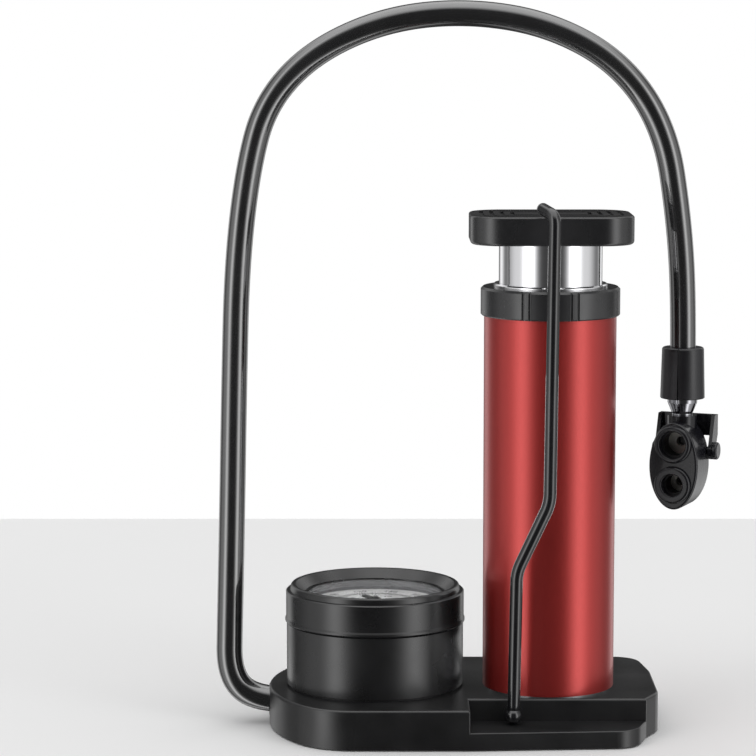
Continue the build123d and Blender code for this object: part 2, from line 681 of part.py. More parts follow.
with BuildPart() as gauge_gasket:
    ring(GAUGE_X, BASE_TOP, GAUGE_BOTTOM, GAUGE_R - GASKET_INSET, STEM_R)
save(gauge_gasket, "gauge_gasket")

with BuildPart() as gauge_bezel:
    bore_x = GAUGE_X + GAUGE_R - GAUGE_WALL
    rim_x = GAUGE_X + BEZEL_R - 1.3
    window_x = GAUGE_X + WINDOW_R
    with BuildSketch(Plane.XZ):
        with BuildLine():
            # Outer wall with a lip at the seam, and the step below the rim
            Polyline(
                (GAUGE_X + BEZEL_R - 0.1, GAUGE_SEAM),
                (GAUGE_X + BEZEL_R + 0.3, GAUGE_SEAM + 0.4),
                (GAUGE_X + BEZEL_R + 0.3, GAUGE_SEAM + 1.0),
                (GAUGE_X + BEZEL_R, GAUGE_SEAM + 1.6),
                (GAUGE_X + BEZEL_R, BEZEL_TOP - 2.4),
                (GAUGE_X + BEZEL_R - 0.3, BEZEL_TOP - 2.1),
                (rim_x, BEZEL_TOP - 2.0),
                (rim_x - 0.2, BEZEL_TOP - 0.9),
            )
            ThreePointArc(
                (rim_x - 0.2, BEZEL_TOP - 0.9), (rim_x - 0.5, BEZEL_TOP - 0.25), (rim_x - 1.1, BEZEL_TOP)
            )
            # Rim, funnel and bore
            Polyline(
                (rim_x - 1.1, BEZEL_TOP),
                (rim_x - 1.8, BEZEL_TOP - 0.15),
                (window_x, LENS_TOP + 0.2),
                (window_x, DIAL_TOP - DIAL_THICKNESS - 1.4),
                (bore_x, DIAL_TOP - DIAL_THICKNESS - 1.4),
                (bore_x, GAUGE_SEAM),
                (GAUGE_X + BEZEL_R - 0.1, GAUGE_SEAM),
            )
        make_face()
    revolve(axis=GAUGE_AXIS)
save(gauge_bezel, "gauge_bezel")

LENS_RING_WALL = 1.0
LENS_RING_GROOVES = 3
LENS_RING_GROOVE_STEP = 0.9
LENS_RING_GROOVE_WIDTH = 0.3
LENS_RING_GROOVE_DEPTH = 0.25

with BuildPart() as lens_ring:
    ring(GAUGE_X, DIAL_TOP, LENS_BOTTOM, WINDOW_R, WINDOW_R - LENS_RING_WALL)
    # Turned grooves around the inner wall
    for count in range(LENS_RING_GROOVES):
        groove_z = DIAL_TOP + (count + 2 / 3) * LENS_RING_GROOVE_STEP
        groove_r = WINDOW_R - LENS_RING_WALL + LENS_RING_GROOVE_DEPTH
        round_cut(GAUGE_X, groove_z, groove_z + LENS_RING_GROOVE_WIDTH, groove_r)
save(lens_ring, "lens_ring")

with BuildPart() as gauge_lens:
    ring(GAUGE_X, LENS_BOTTOM, LENS_TOP, WINDOW_R)
save(gauge_lens, "gauge_lens")

# ---- Gauge movement ----
SHAFT_R = 0.8
PLATE_THICKNESS = 1.0
UPPER_PLATE_BOTTOM = 34.0
GEAR_BOTTOM = 31.0
GEAR_THICKNESS = 1.2
SECTOR_GAP = 0.1
SECTOR_PIVOT_Y = SECTOR_R + PINION_R + SECTOR_GAP
SECTOR_SPREAD = 22.0
SECTOR_REST = -14.0
SECTOR_ROOT = 1.6
SECTOR_HUB_R = 2.2
PLATE_WIDTH = 17.0
PLATE_MARGIN = 4.5
PLATE_CORNER_R = 3.0
PILLAR_SPOTS = [(GAUGE_X - 6.6, -2.6), (GAUGE_X + 6.6, -2.6)]
PILLAR_R = 1.2
DIAL_POST_R = 1.0

with BuildPart() as dial_plate:
    ring(GAUGE_X, DIAL_TOP - DIAL_THICKNESS, DIAL_TOP, WINDOW_R, DIAL_HOLE_R)
save(dial_plate, "dial_plate")

with BuildPart() as movement_plates:
    for plate_bottom in (MOVEMENT_BOTTOM, UPPER_PLATE_BOTTOM):
        with BuildSketch(Plane.XY.offset(plate_bottom)):
            with Locations((GAUGE_X, SECTOR_PIVOT_Y / 2)):
                RectangleRounded(PLATE_WIDTH, SECTOR_PIVOT_Y + 2 * PLATE_MARGIN, PLATE_CORNER_R)
            for pivot_y in (0.0, SECTOR_PIVOT_Y):
                with Locations((GAUGE_X, pivot_y)):
                    Circle(SHAFT_R + RUNNING_GAP, mode=Mode.SUBTRACT)
        extrude(amount=PLATE_THICKNESS)
    # Pillars between the plates
    with BuildSketch(Plane.XY.offset(MOVEMENT_BOTTOM)):
        with Locations(*PILLAR_SPOTS):
            Circle(PILLAR_R)
    extrude(amount=UPPER_PLATE_BOTTOM - MOVEMENT_BOTTOM + PLATE_THICKNESS)
    # Posts that carry the dial
    with BuildSketch(Plane.XY.offset(UPPER_PLATE_BOTTOM)):
        with Locations(*PILLAR_SPOTS):
            Circle(DIAL_POST_R)
    extrude(amount=DIAL_TOP - DIAL_THICKNESS - UPPER_PLATE_BOTTOM)
save(movement_plates, "movement_plates")

with BuildPart() as needle_shaft:
    ring(GAUGE_X, MOVEMENT_BOTTOM, NEEDLE_BOTTOM, SHAFT_R)
    ring(GAUGE_X, GEAR_BOTTOM, GEAR_BOTTOM + GEAR_THICKNESS, PINION_R)
save(needle_shaft, "needle_shaft")

with BuildPart() as needle:
    needle_plane = Plane(
        origin=(GAUGE_X, 0, NEEDLE_BOTTOM),
        x_dir=Vector(1, 0, 0).rotate(Axis.Z, NEEDLE_ANGLE),
        z_dir=(0, 0, 1),
    )
    with BuildSketch(needle_plane):
        Polygon(
            (NEEDLE_REACH, 0.15), (0, 0.7), (-NEEDLE_TAIL, NEEDLE_TAIL_R),
            (-NEEDLE_TAIL, -NEEDLE_TAIL_R), (0, -0.7),
            (NEEDLE_REACH, -0.15), align=None,
        )
        Circle(NEEDLE_HUB_R)
        with Locations((-NEEDLE_TAIL, 0)):
            Circle(NEEDLE_TAIL_R)
    extrude(amount=NEEDLE_THICKNESS)
    with BuildSketch(needle_plane.offset(NEEDLE_THICKNESS)):
        Circle(NEEDLE_CAP_R)
    extrude(amount=NEEDLE_CAP_HEIGHT)
save(needle, "needle")

with BuildPart() as sector_gear:
    with BuildSketch(
        Plane(
            origin=(GAUGE_X, SECTOR_PIVOT_Y, GEAR_BOTTOM),
            x_dir=Vector(1, 0, 0).rotate(Axis.Z, SECTOR_REST),
            z_dir=(0, 0, 1),
        )
    ):
        with BuildLine():
            spread = math.radians(SECTOR_SPREAD)
            left = (-SECTOR_R * math.sin(spread), -SECTOR_R * math.cos(spread))
            right = (SECTOR_R * math.sin(spread), -SECTOR_R * math.cos(spread))
            ThreePointArc(left, (0, -SECTOR_R), right)
            Polyline(right, (SECTOR_ROOT, 0), (-SECTOR_ROOT, 0), left)
        make_face()
        Circle(SECTOR_HUB_R)
    extrude(amount=GEAR_THICKNESS)
    with BuildSketch(Plane(origin=(GAUGE_X, SECTOR_PIVOT_Y, MOVEMENT_BOTTOM), z_dir=(0, 0, 1))):
        Circle(SHAFT_R)
    extrude(amount=UPPER_PLATE_BOTTOM + PLATE_THICKNESS - MOVEMENT_BOTTOM)
save(sector_gear, "sector_gear")

BOURDON_BOTTOM = 19.5
BOURDON_TOP = 26.5
BOURDON_THICKNESS = 2.2
BOURDON_WALL = 0.4
BOURDON_ROUND = 0.9
BOURDON_SWEEP = 250.0
BLOCK_HALF_WIDTH = 5.0
BLOCK_FRONT_Y = -20.5
BLOCK_BACK_Y = 4.5
bourdon_inner_r = BOURDON_R - BOURDON_THICKNESS / 2
block_start = math.degrees(math.asin(BLOCK_HALF_WIDTH / bourdon_inner_r)) - 90.0

with BuildPart() as gauge_stem:
    ring(GAUGE_X, STEM_BOTTOM, GAUGE_FLOOR, STEM_R)
    with BuildSketch(Plane.XY.offset(GAUGE_FLOOR)):
        with Locations((GAUGE_X, (BLOCK_FRONT_Y + BLOCK_BACK_Y) / 2)):
            Rectangle(2 * BLOCK_HALF_WIDTH, BLOCK_BACK_Y - BLOCK_FRONT_Y)
    extrude(amount=MOVEMENT_BOTTOM - GAUGE_FLOOR)
    round_cut(GAUGE_X, STEM_BOTTOM, STEM_BORE_TOP, STEM_BORE_R)
save(gauge_stem, "gauge_stem")

with BuildPart() as bourdon_tube:
    start_plane = Plane(
        origin=(GAUGE_X, 0, 0),
        x_dir=Vector(1, 0, 0).rotate(Axis.Z, block_start),
        z_dir=Vector(0, -1, 0).rotate(Axis.Z, block_start),
    )
    with BuildSketch(start_plane):
        with Locations((BOURDON_R, (BOURDON_BOTTOM + BOURDON_TOP) / 2)):
            RectangleRounded(BOURDON_THICKNESS, BOURDON_TOP - BOURDON_BOTTOM, BOURDON_ROUND)
            RectangleRounded(
                BOURDON_THICKNESS - 2 * BOURDON_WALL,
                BOURDON_TOP - BOURDON_BOTTOM - 2 * BOURDON_WALL,
                BOURDON_ROUND - BOURDON_WALL,
                mode=Mode.SUBTRACT,
            )
    revolve(axis=GAUGE_AXIS, revolution_arc=BOURDON_SWEEP)
save(bourdon_tube, "bourdon_tube")

tip_turn = math.radians(block_start + BOURDON_SWEEP)
TIP_SPOT = (GAUGE_X + BOURDON_R * math.cos(tip_turn), BOURDON_R * math.sin(tip_turn))

LINK_EYE_R = 1.1
LINK_WIDTH = 2.0
LINK_THICKNESS = 0.8

with BuildPart() as bourdon_link:
    with BuildSketch(Plane.XY.offset(BOURDON_TOP)):
        with Locations(TIP_SPOT):
            Circle(LINK_EYE_R)
        with BuildLine():
            Polyline(
                (TIP_SPOT[0] - LINK_WIDTH / 2, TIP_SPOT[1]), (TIP_SPOT[0] + LINK_WIDTH / 2, TIP_SPOT[1]),
                (TIP_SPOT[0] + 5.0, 14.0), (TIP_SPOT[0] + 3.4, 14.6), close=True,
            )
        make_face()
    extrude(amount=LINK_THICKNESS)
save(bourdon_link, "bourdon_link")

# ---- Air line inside the base ----
PIPE_START_X = GAUGE_X + MANIFOLD_HALF_LENGTH - SPIGOT_DEPTH
BARB_END_X = GAUGE_X - MANIFOLD_HALF_LENGTH + SPIGOT_DEPTH

with BuildPart() as air_manifold:
    with BuildSketch(Plane.XY.offset(COVER_TOP + MANIFOLD_GAP)):
        with Locations((GAUGE_X, 0)):
            RectangleRounded(2 * MANIFOLD_HALF_LENGTH, 2 * MANIFOLD_HALF_LENGTH, MANIFOLD_CORNER_R)
    extrude(amount=CEILING - COVER_TOP - 2 * MANIFOLD_GAP)
    round_cut(GAUGE_X, STEM_BOTTOM, CEILING, STEM_R)
    round_cut(GAUGE_X, AIR_Z, STEM_BOTTOM, STEM_BORE_R)
    cross_bore(PIPE_START_X, GAUGE_X + MANIFOLD_HALF_LENGTH + OVERCUT, PIPE_R)
    cross_bore(GAUGE_X - MANIFOLD_HALF_LENGTH - OVERCUT, BARB_END_X, BARB_R)
    cross_bore(BARB_END_X, PIPE_START_X, AIR_BORE_R)
save(air_manifold, "air_manifold")

with BuildPart() as feed_pipe:
    with BuildSketch(Plane.YZ.offset(PIPE_START_X)):
        with Locations((0, AIR_Z)):
            Circle(PIPE_R)
            Circle(AIR_BORE_R, mode=Mode.SUBTRACT)
    extrude(amount=PIPE_END_X - PIPE_START_X)
save(feed_pipe, "feed_pipe")

with BuildPart() as hose_barb:
    with BuildSketch(Plane.YZ.offset(HOSE_END_X)):
        with Locations((0, AIR_Z)):
            Circle(BARB_R)
            Circle(AIR_BORE_R, mode=Mode.SUBTRACT)
    extrude(amount=BARB_END_X - HOSE_END_X)
save(hose_barb, "hose_barb")

with BuildPart() as hose_gland:
    with BuildSketch(Plane.YZ.offset(-BASE_HALF_LENGTH)):
        with Locations((0, AIR_Z)):
            Circle(HOSE_R + GLAND_WALL)
            Circle(HOSE_R, mode=Mode.SUBTRACT)
    extrude(amount=GLAND_LENGTH)
save(hose_gland, "hose_gland")

# ---- Hose ----


def corner_radii(route, share=0.45):
    """The largest arc at each corner that its two runs leave room for."""
    radii = []
    for before, corner, after in zip(route, route[1:], route[2:]):
        into = Vector(*corner) - Vector(*before)
        out = Vector(*after) - Vector(*corner)
        half_turn = math.radians(into.get_angle(out) / 2)
        radii.append(share * min(into.length, out.length) / math.tan(half_turn))
    return radii


hose_radii = corner_radii(HOSE_ROUTE)
print("hose bend radii", [round(radius, 1) for radius in hose_radii])

with BuildPart() as hose:
    with BuildLine() as hose_path:
        FilletPolyline(*HOSE_ROUTE, radius=hose_radii)
    with BuildSketch(Plane(origin=hose_path.line @ 0, z_dir=hose_path.line % 0)):
        Circle(HOSE_R)
    sweep(path=hose_path.line)
hose_length = hose_path.wire().length
hose_fill = hose.part.volume / (math.pi * HOSE_R**2 * hose_length)
print("hose length", round(hose_length, 1), "volume over section times length", round(hose_fill, 4))
save(hose, "hose")

# ---- Hose end ----
HOSE_FOOT_Z = HOSE_ROUTE[-1][2]

with BuildPart() as hose_sleeve:
    with BuildSketch(head_plane(z=SLEEVE_BOTTOM)):
        Circle(SLEEVE_R)
    with BuildSketch(head_plane(z=SLEEVE_TOP)):
        Circle(SLEEVE_TOP_R)
    loft()
    fillet(hose_sleeve.faces().sort_by(Axis.Z)[-1].edges(), SLEEVE_ROUND)
    fillet(hose_sleeve.faces().sort_by(Axis.Z)[0].edges(), SLEEVE_FOOT_ROUND)
    with BuildSketch(head_plane(z=HOSE_FOOT_Z)):
        Circle(HOSE_R)
    extrude(amount=SLEEVE_TOP - HOSE_FOOT_Z, mode=Mode.SUBTRACT)
    with BuildSketch(head_plane(z=SLEEVE_BOTTOM)):
        Circle(NIPPLE_R)
    extrude(amount=HOSE_FOOT_Z - SLEEVE_BOTTOM, mode=Mode.SUBTRACT)
    # Moulded parting slit at the front
    with BuildSketch(head_plane(x=SLIT_X, y=-SLEEVE_R, z=SLEEVE_BOTTOM)):
        Rectangle(SLIT_WIDTH, 2 * SLIT_DEPTH)
    extrude(amount=SLEEVE_TOP - SLEEVE_BOTTOM, mode=Mode.SUBTRACT)
save(hose_sleeve, "hose_sleeve")

with BuildPart() as hose_nipple:
    with BuildSketch(head_plane(z=SLEEVE_BOTTOM)):
        Circle(NIPPLE_R)
    extrude(amount=HOSE_FOOT_Z - SLEEVE_BOTTOM)
    with BuildSketch(head_plane(z=SLEEVE_BOTTOM)):
        Circle(FLANGE_R)
    extrude(amount=-FLANGE_THICKNESS)
    with BuildSketch(head_plane(z=SLEEVE_BOTTOM - FLANGE_THICKNESS)):
        Circle(FLANGE_R)
    with BuildSketch(head_plane(z=CONE_BOTTOM)):
        Circle(NIPPLE_R)
    loft()
    with BuildSketch(head_plane(z=NIPPLE_BOTTOM)):
        Circle(NIPPLE_R)
    extrude(amount=CONE_BOTTOM - NIPPLE_BOTTOM)
    with BuildSketch(head_plane(z=NIPPLE_BOTTOM)):
        Circle(NIPPLE_BORE_R)
    extrude(amount=HOSE_FOOT_Z - NIPPLE_BOTTOM, mode=Mode.SUBTRACT)
save(hose_nipple, "hose_nipple")

# ---- Valve head ----
HEAD_DEPTH = FACE_DEPTH + BACK_DEPTH
HEAD_MID_Z = (HEAD_BOTTOM + HEAD_TOP) / 2
PORTS = {"large": (UPPER_PORT_Z, LARGE_VALVE_R), "small": (LOWER_PORT_Z, SMALL_VALVE_R)}
PORT_HEIGHTS = (UPPER_PORT_Z, LOWER_PORT_Z)

with BuildPart() as head_body:
    with BuildSketch(head_plane(y=BACK_DEPTH, normal="ports")):
        with Locations((0, HEAD_MID_Z)):
            Ellipse(HEAD_HALF_WIDTH, (HEAD_TOP - HEAD_BOTTOM) / 2)
    extrude(amount=HEAD_DEPTH)
    fillet(head_body.faces().sort_by(Axis(HEAD_PLANE.origin, HEAD_PLANE.y_dir))[-1].edges(), HEAD_FACE_ROUND)
    fillet(head_body.faces().sort_by(Axis(HEAD_PLANE.origin, HEAD_PLANE.y_dir))[0].edges(), HEAD_BACK_ROUND)
    # Neck for the nipple
    with BuildSketch(head_plane(z=NECK_BOTTOM)):
        Circle(NECK_R)
    extrude(amount=NECK_TOP - NECK_BOTTOM)
    for port_z in PORT_HEIGHTS:
        with BuildSketch(head_plane(y=PORT_FLOOR_Y, normal="ports")):
            with Locations((0, port_z)):
                Circle(PORT_BORE_R)
        extrude(amount=HEAD_DEPTH, mode=Mode.SUBTRACT)
        with BuildSketch(head_plane(y=CAP_DEPTH - FACE_DEPTH, normal="ports")):
            with Locations((0, port_z)):
                Circle(CAP_SEAT_R)
        extrude(amount=CAP_DEPTH, mode=Mode.SUBTRACT)
    # Nipple socket and the air way down to both ports
    with BuildSketch(head_plane(z=NIPPLE_BOTTOM)):
        Circle(NIPPLE_R)
    extrude(amount=NECK_TOP + OVERCUT - NIPPLE_BOTTOM, mode=Mode.SUBTRACT)
    with BuildSketch(head_plane(z=LOWER_PORT_Z)):
        Circle(NIPPLE_BORE_R)
    extrude(amount=NIPPLE_BOTTOM - LOWER_PORT_Z, mode=Mode.SUBTRACT)
    with BuildSketch(pivot_plane(-LEVER_ARM_OUTER)):
        Circle(LEVER_PIN_R)
    extrude(amount=2 * LEVER_ARM_OUTER, mode=Mode.SUBTRACT)
save(head_body, "head_body")

GROMMET_START = FACE_DEPTH - CAP_DEPTH - GROMMET_LENGTH

for port_name, (port_z, valve_r) in PORTS.items():
    with BuildPart() as port_cap:
        with BuildSketch(head_plane(y=CAP_DEPTH - FACE_DEPTH, normal="ports")):
            with Locations((0, port_z)):
                Circle(CAP_SEAT_R)
        extrude(amount=CAP_DEPTH)
        with BuildSketch(head_plane(y=-FACE_DEPTH, normal="ports")):
            with Locations((0, port_z)):
                Circle(CAP_R)
        extrude(amount=CAP_RISE)
        rim = port_cap.faces().sort_by(Axis(HEAD_PLANE.origin, HEAD_PLANE.y_dir))[0]
        fillet(rim.edges(), CAP_OUTER_ROUND)
        with BuildSketch(head_plane(y=CAP_DEPTH - FACE_DEPTH, normal="ports")):
            with Locations((0, port_z)):
                Circle(valve_r + CAP_BORE_WALL)
        extrude(amount=CAP_DEPTH + CAP_RISE, mode=Mode.SUBTRACT)
        rim = port_cap.faces().sort_by(Axis(HEAD_PLANE.origin, HEAD_PLANE.y_dir))[0]
        fillet(rim.edges().sort_by(SortBy.RADIUS)[0], CAP_INNER_ROUND)
    save(port_cap, f"{port_name}_port_cap")

    with BuildPart() as grommet:
        with BuildSketch(head_plane(y=-GROMMET_START, normal="ports")):
            with Locations((0, port_z)):
                Circle(PORT_BORE_R)
                Circle(valve_r, mode=Mode.SUBTRACT)
        extrude(amount=GROMMET_LENGTH)
    save(grommet, f"{port_name}_grommet")

with BuildPart() as clamp_pistons:
    for port_z in PORT_HEIGHTS:
        with BuildSketch(head_plane(y=PORT_FLOOR_Y, normal="ports")):
            with Locations((0, port_z)):
                Circle(PORT_BORE_R - RUNNING_GAP)
                Circle(PISTON_RING_BORE_R, mode=Mode.SUBTRACT)
        extrude(amount=PISTON_RING_LENGTH)
save(clamp_pistons, "clamp_pistons")

with BuildPart() as clamp_lever:
    # Side arms, drawn looking across the head: their x runs backwards and their y up
    for side in (LEVER_ARM_INNER, -LEVER_ARM_OUTER):
        with BuildSketch(head_plane(x=side, normal="across")):
            with BuildLine():
                Polyline(
                    (LEVER_PIVOT_Y - 2.6, LEVER_PIVOT_Z),
                    (LEVER_PIVOT_Y + 1.4, LEVER_TOP),
                    (LEVER_PIVOT_Y + LEVER_REACH, LEVER_TOP),
                    (LEVER_PIVOT_Y + LEVER_REACH, LEVER_HEEL_Z),
                    (LEVER_PIVOT_Y + 2.6, LEVER_PIVOT_Z),
                    close=True,
                )
            make_face()
            with Locations((LEVER_PIVOT_Y, LEVER_PIVOT_Z)):
                Circle(LEVER_EYE_R)
        extrude(amount=LEVER_ARM_OUTER - LEVER_ARM_INNER)
    # Thumb plate across the back
    with BuildSketch(head_plane(x=-LEVER_ARM_OUTER, normal="across")):
        with Locations((LEVER_PIVOT_Y + LEVER_REACH - THUMB_PLATE[0] / 2, LEVER_TOP - THUMB_PLATE[1] / 2)):
            Rectangle(*THUMB_PLATE)
    extrude(amount=2 * LEVER_ARM_OUTER)
    with BuildSketch(pivot_plane(-LEVER_ARM_OUTER - OVERCUT)):
        Circle(LEVER_PIN_R + RUNNING_GAP)
    extrude(amount=2 * (LEVER_ARM_OUTER + OVERCUT), mode=Mode.SUBTRACT)
save(clamp_lever, "clamp_lever")

with BuildPart() as lever_pin:
    with BuildSketch(pivot_plane(-LEVER_ARM_OUTER - PIN_GAP)):
        Circle(LEVER_PIN_R)
    extrude(amount=2 * (LEVER_ARM_OUTER + PIN_GAP))
    with BuildSketch(pivot_plane(LEVER_ARM_OUTER + PIN_GAP)):
        Circle(PIN_HEAD_R)
    extrude(amount=PIN_HEAD_HEIGHT)
    fillet(lever_pin.faces().sort_by(Axis(HEAD_PLANE.origin, HEAD_PLANE.x_dir))[-1].edges(), PIN_HEAD_ROUND)
    with BuildSketch(pivot_plane(-LEVER_ARM_OUTER - PIN_GAP)):
        Circle(PIN_RIVET_R)
    extrude(amount=-PIN_RIVET_HEIGHT)
save(lever_pin, "lever_pin")
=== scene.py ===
"""Studio scene of the compact floor pump: finishes, hose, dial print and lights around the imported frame."""
import math

import bmesh
import bpy
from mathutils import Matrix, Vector


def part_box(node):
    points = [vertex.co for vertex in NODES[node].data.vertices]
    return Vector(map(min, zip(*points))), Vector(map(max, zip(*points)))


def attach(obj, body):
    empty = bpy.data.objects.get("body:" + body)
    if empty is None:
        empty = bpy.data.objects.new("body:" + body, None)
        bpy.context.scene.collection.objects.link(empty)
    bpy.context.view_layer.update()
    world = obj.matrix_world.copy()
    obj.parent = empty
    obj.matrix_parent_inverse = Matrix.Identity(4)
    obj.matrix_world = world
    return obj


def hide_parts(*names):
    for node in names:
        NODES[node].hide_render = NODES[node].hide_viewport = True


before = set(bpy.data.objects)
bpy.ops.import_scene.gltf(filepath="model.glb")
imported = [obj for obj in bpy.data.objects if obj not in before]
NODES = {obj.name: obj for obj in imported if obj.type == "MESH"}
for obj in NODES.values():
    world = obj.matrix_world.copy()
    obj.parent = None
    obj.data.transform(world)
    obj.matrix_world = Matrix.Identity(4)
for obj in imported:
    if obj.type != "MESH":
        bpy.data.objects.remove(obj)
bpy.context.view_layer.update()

MM = 0.001


# ---- Camera: in front of the gauge, level with the top of the hose, looking slightly down ----
# Lengths here are in millimetres and angles in degrees
CAMERA_SPOT = Vector((-27.5, -960.0, 232.9)) * MM
CAMERA_PITCH = 7.1
SENSOR_WIDTH = 36.0
FOCAL_LENGTH = 142.857

camera_data = bpy.data.cameras.new("camera")
camera_data.sensor_width = SENSOR_WIDTH
camera_data.lens = FOCAL_LENGTH
camera_data.clip_start = 0.01
camera_data.clip_end = 20.0
camera = bpy.data.objects.new("camera", camera_data)
camera.location = CAMERA_SPOT
camera.rotation_euler = (math.radians(90.0 - CAMERA_PITCH), 0.0, 0.0)
bpy.context.scene.collection.objects.link(camera)
bpy.context.scene.camera = camera


# ---- Materials ----
# The range that most of a noise texture's factor lies in
NOISE_LOW = 0.3
NOISE_HIGH = 0.7
# A mix node has a socket of the same name for each kind of data, so its colour sockets go by number
MIX_FACTOR = 0
MIX_FIRST = 6
MIX_SECOND = 7
MIX_RESULT = 2
# How much moulded plastic varies: its grain, the size of its clouds, their gloss and their colour
GRAIN_STRENGTH = 0.35
CLOUD_SCALE = 60.0
CLOUD_GLOSSIER = 0.85
CLOUD_DULLER = 1.2
CLOUD_LIGHTER = 1.5
CLOUD_LIFT = 0.002
METAL_COAT_ROUGHNESS = 0.25
METAL_LINE_STRENGTH = 0.25


def shader_of(made):
    """The shader node of a material."""
    return made.node_tree.nodes["Principled BSDF"]


def material(name, colour, roughness, metallic=0.0, coat=0.0, coat_roughness=0.1, specular=0.6):
    """A material with one principled shader."""
    made = bpy.data.materials.new(name)
    made.use_nodes = True
    shader = shader_of(made)
    shader.inputs["Base Color"].default_value = (*colour, 1.0)
    shader.inputs["Roughness"].default_value = roughness
    shader.inputs["Metallic"].default_value = metallic
    shader.inputs["Coat Weight"].default_value = coat
    shader.inputs["Coat Roughness"].default_value = coat_roughness
    shader.inputs["Specular IOR Level"].default_value = specular
    return made


def noise(made, scale, detail=4.0, stretch=(1.0, 1.0, 1.0)):
    """The factor of a noise texture in the object's own metres, denser by stretch along each axis."""
    nodes, links = made.node_tree.nodes, made.node_tree.links
    place = nodes.new("ShaderNodeTexCoord")
    mapping = nodes.new("ShaderNodeMapping")
    mapping.inputs["Scale"].default_value = stretch
    texture = nodes.new("ShaderNodeTexNoise")
    texture.inputs["Scale"].default_value = scale
    texture.inputs["Detail"].default_value = detail
    links.new(place.outputs["Object"], mapping.inputs["Vector"])
    links.new(mapping.outputs["Vector"], texture.inputs["Vector"])
    return texture.outputs["Fac"]


def spread(made, factor, low, high):
    """A noise factor spread over the range from low to high."""
    node = made.node_tree.nodes.new("ShaderNodeMapRange")
    node.inputs["From Min"].default_value = NOISE_LOW
    node.inputs["From Max"].default_value = NOISE_HIGH
    node.inputs["To Min"].default_value = low
    node.inputs["To Max"].default_value = high
    made.node_tree.links.new(factor, node.inputs["Value"])
    return node.outputs["Result"]


def tint(made, factor, dark, light):
    """Colours the surface by a factor, between a dark and a light colour."""
    node = made.node_tree.nodes.new("ShaderNodeMix")
    node.data_type = "RGBA"
    node.inputs[MIX_FIRST].default_value = (*dark, 1.0)
    node.inputs[MIX_SECOND].default_value = (*light, 1.0)
    made.node_tree.links.new(factor, node.inputs[MIX_FACTOR])
    made.node_tree.links.new(node.outputs[MIX_RESULT], shader_of(made).inputs["Base Color"])


def bump(made, factor, strength, depth_mm):
    """Raises the surface by a factor, up to depth_mm."""
    node = made.node_tree.nodes.new("ShaderNodeBump")
    node.inputs["Strength"].default_value = strength
    node.inputs["Distance"].default_value = depth_mm * MM
    made.node_tree.links.new(factor, node.inputs["Height"])
    made.node_tree.links.new(node.outputs["Normal"], shader_of(made).inputs["Normal"])


def moulded(
    name, colour, roughness, grain_mm=0.35, depth_mm=0.01, coat=0.0, coat_roughness=0.1, specular=0.6
):
    """Moulded plastic: a fine grain, slight changes of gloss, and a faint change of colour."""
    made = material(
        name, colour, roughness, coat=coat, coat_roughness=coat_roughness, specular=specular
    )
    grain = noise(made, 1.0 / (grain_mm * MM), detail=2.0)
    bump(made, grain, GRAIN_STRENGTH, depth_mm)
    cloud = noise(made, CLOUD_SCALE, detail=5.0)
    gloss = spread(made, cloud, roughness * CLOUD_GLOSSIER, roughness * CLOUD_DULLER)
    made.node_tree.links.new(gloss, shader_of(made).inputs["Roughness"])
    lighter = tuple(CLOUD_LIGHTER * part + CLOUD_LIFT for part in colour)
    tint(made, spread(made, cloud, 0.0, 1.0), colour, lighter)
    return made


def metal(
    name, colour, roughness, grain=(1.0, 1.0, 1.0), scale=400.0, depth_mm=0.002, vary=0.25, coat=0.0,
    metallic=1.0,
):
    """Metal with tool lines; grain is how dense the lines are along each axis."""
    made = material(
        name, colour, roughness, metallic=metallic, coat=coat, coat_roughness=METAL_COAT_ROUGHNESS
    )
    lines = noise(made, scale, detail=3.0, stretch=grain)
    gloss = spread(made, lines, roughness * (1 - vary), roughness * (1 + vary))
    made.node_tree.links.new(gloss, shader_of(made).inputs["Roughness"])
    bump(made, lines, METAL_LINE_STRENGTH, depth_mm)
    return made


BASE_BLACK = moulded("base_black", (0.007, 0.007, 0.0075), 0.34, specular=0.7)
CASE_BLACK = moulded("case_black", (0.005, 0.005, 0.0055), 0.27, depth_mm=0.006, specular=0.75)
HEAD_BLACK = moulded(
    "head_black", (0.006, 0.006, 0.008), 0.25, grain_mm=0.8, depth_mm=0.02, coat=0.35,
    coat_roughness=0.05, specular=0.3,
)
HOSE_BLACK = moulded(
    "hose_black", (0.006, 0.006, 0.0065), 0.22, grain_mm=1.6, depth_mm=0.003, coat=1.0,
    coat_roughness=0.03, specular=0.8,
)
shader_of(HOSE_BLACK).inputs["Coat IOR"].default_value = 2.0
SLEEVE_BLACK = moulded("sleeve_black", (0.009, 0.009, 0.011), 0.36, grain_mm=0.5, depth_mm=0.04)
TREAD_BLACK = moulded("tread_black", (0.013, 0.013, 0.014), 0.27, depth_mm=0.006, specular=0.75)
RUBBER = moulded("rubber_black", (0.008, 0.008, 0.009), 0.42, specular=0.45)
WIRE_BLACK = moulded("wire_enamel", (0.005, 0.005, 0.006), 0.16, grain_mm=1.0, depth_mm=0.004, coat=0.6)
RED = metal(
    "red_anodised", (0.46, 0.034, 0.030), 0.36, scale=2400.0, depth_mm=0.005, vary=0.2, coat=0.5,
    metallic=0.72,
)
CHROME = metal("chrome", (0.92, 0.92, 0.94), 0.09, grain=(0.2, 0.2, 1.0), vary=0.4)
TURNED_DARK = metal(
    "turned_dark", (0.26, 0.26, 0.27), 0.16, grain=(0.1, 0.1, 3.0), scale=700.0, depth_mm=0.01
)
DARK_CHROME = metal("dark_chrome", (0.36, 0.36, 0.38), 0.12)
BRASS = metal("brass", (0.72, 0.50, 0.20), 0.25)
STEEL = metal("steel", (0.60, 0.60, 0.62), 0.28)
ALUMINIUM = metal("turned_aluminium", (0.72, 0.72, 0.74), 0.30, grain=(0.2, 0.2, 2.0))
NYLON = moulded("natural_nylon", (0.62, 0.61, 0.56), 0.45)
